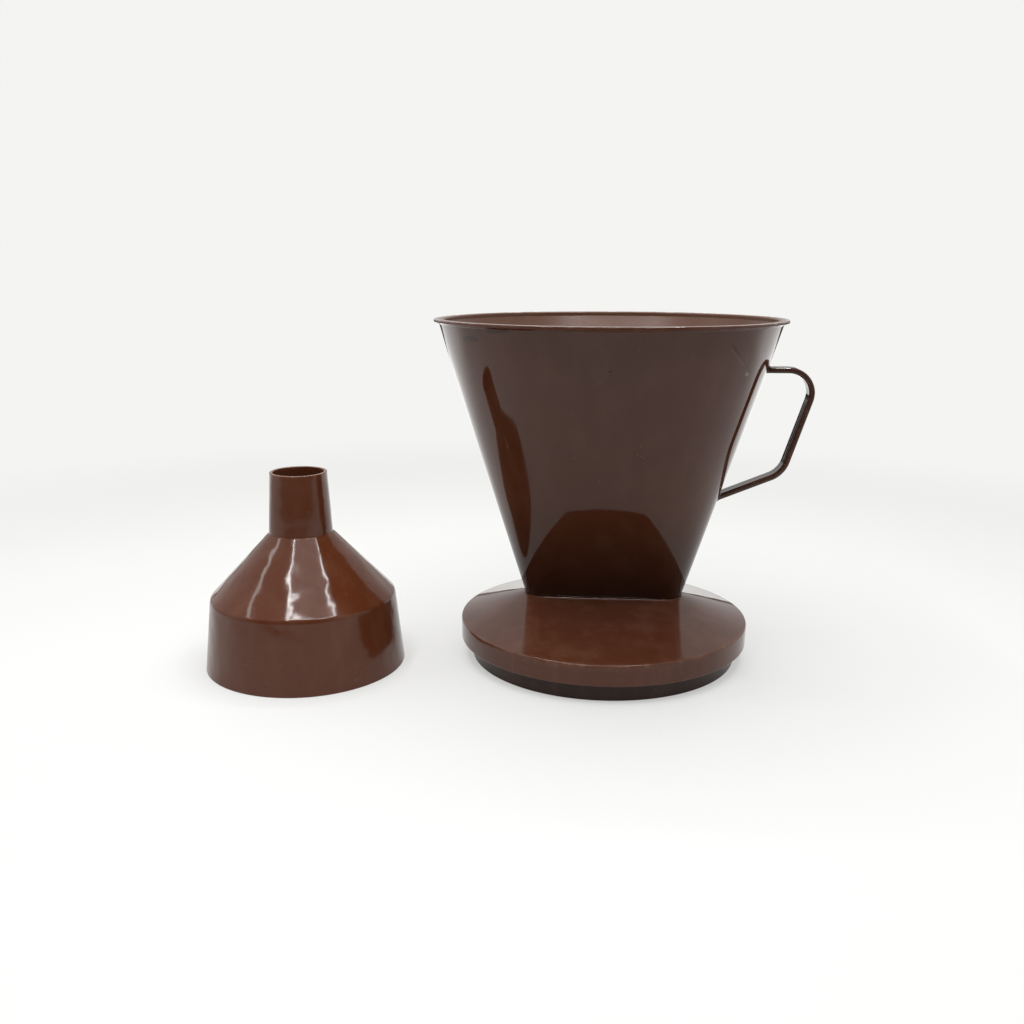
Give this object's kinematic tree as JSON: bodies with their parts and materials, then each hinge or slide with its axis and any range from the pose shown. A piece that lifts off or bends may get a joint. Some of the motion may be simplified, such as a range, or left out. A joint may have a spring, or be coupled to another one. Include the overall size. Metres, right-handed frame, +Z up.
{
  "type": "pour over dripper",
  "caption": "Wedge shaped plastic coffee filter cone on a round base disc with a strap handle, and a loose funnel adapter for a vacuum flask.",
  "frame": {"origin": "on the surface that both pieces stand on, under the middle of the pair's bounding box", "axes": "+Z up; +X from the adapter to the dripper's handle, along the slot of the cone's foot; -Y is the front"},
  "size_m": [0.2558, 0.146, 0.1459],
  "materials": {
    "cone_plastic": "polished moulded plastic, lightly scratched",
    "disc_plastic": "polished moulded plastic, lightly scratched",
    "ring_plastic": "moulded plastic, a little duller",
    "handle_plastic": "moulded plastic, worn smooth",
    "adapter_plastic": "polished moulded plastic"
  },
  "bodies": {
    "dripper": {"filter_cone": "cone_plastic", "base_disc": "disc_plastic", "pot_ring": "ring_plastic", "handle": "handle_plastic"},
    "adapter": {"flask_adapter": "adapter_plastic"}
  },
  "joints": [
    {"name": "adapter_lift", "type": "slide", "parent": "dripper", "child": "adapter", "axis": [0, 0, 1], "range_m": [0, 0.12]}
  ]
}
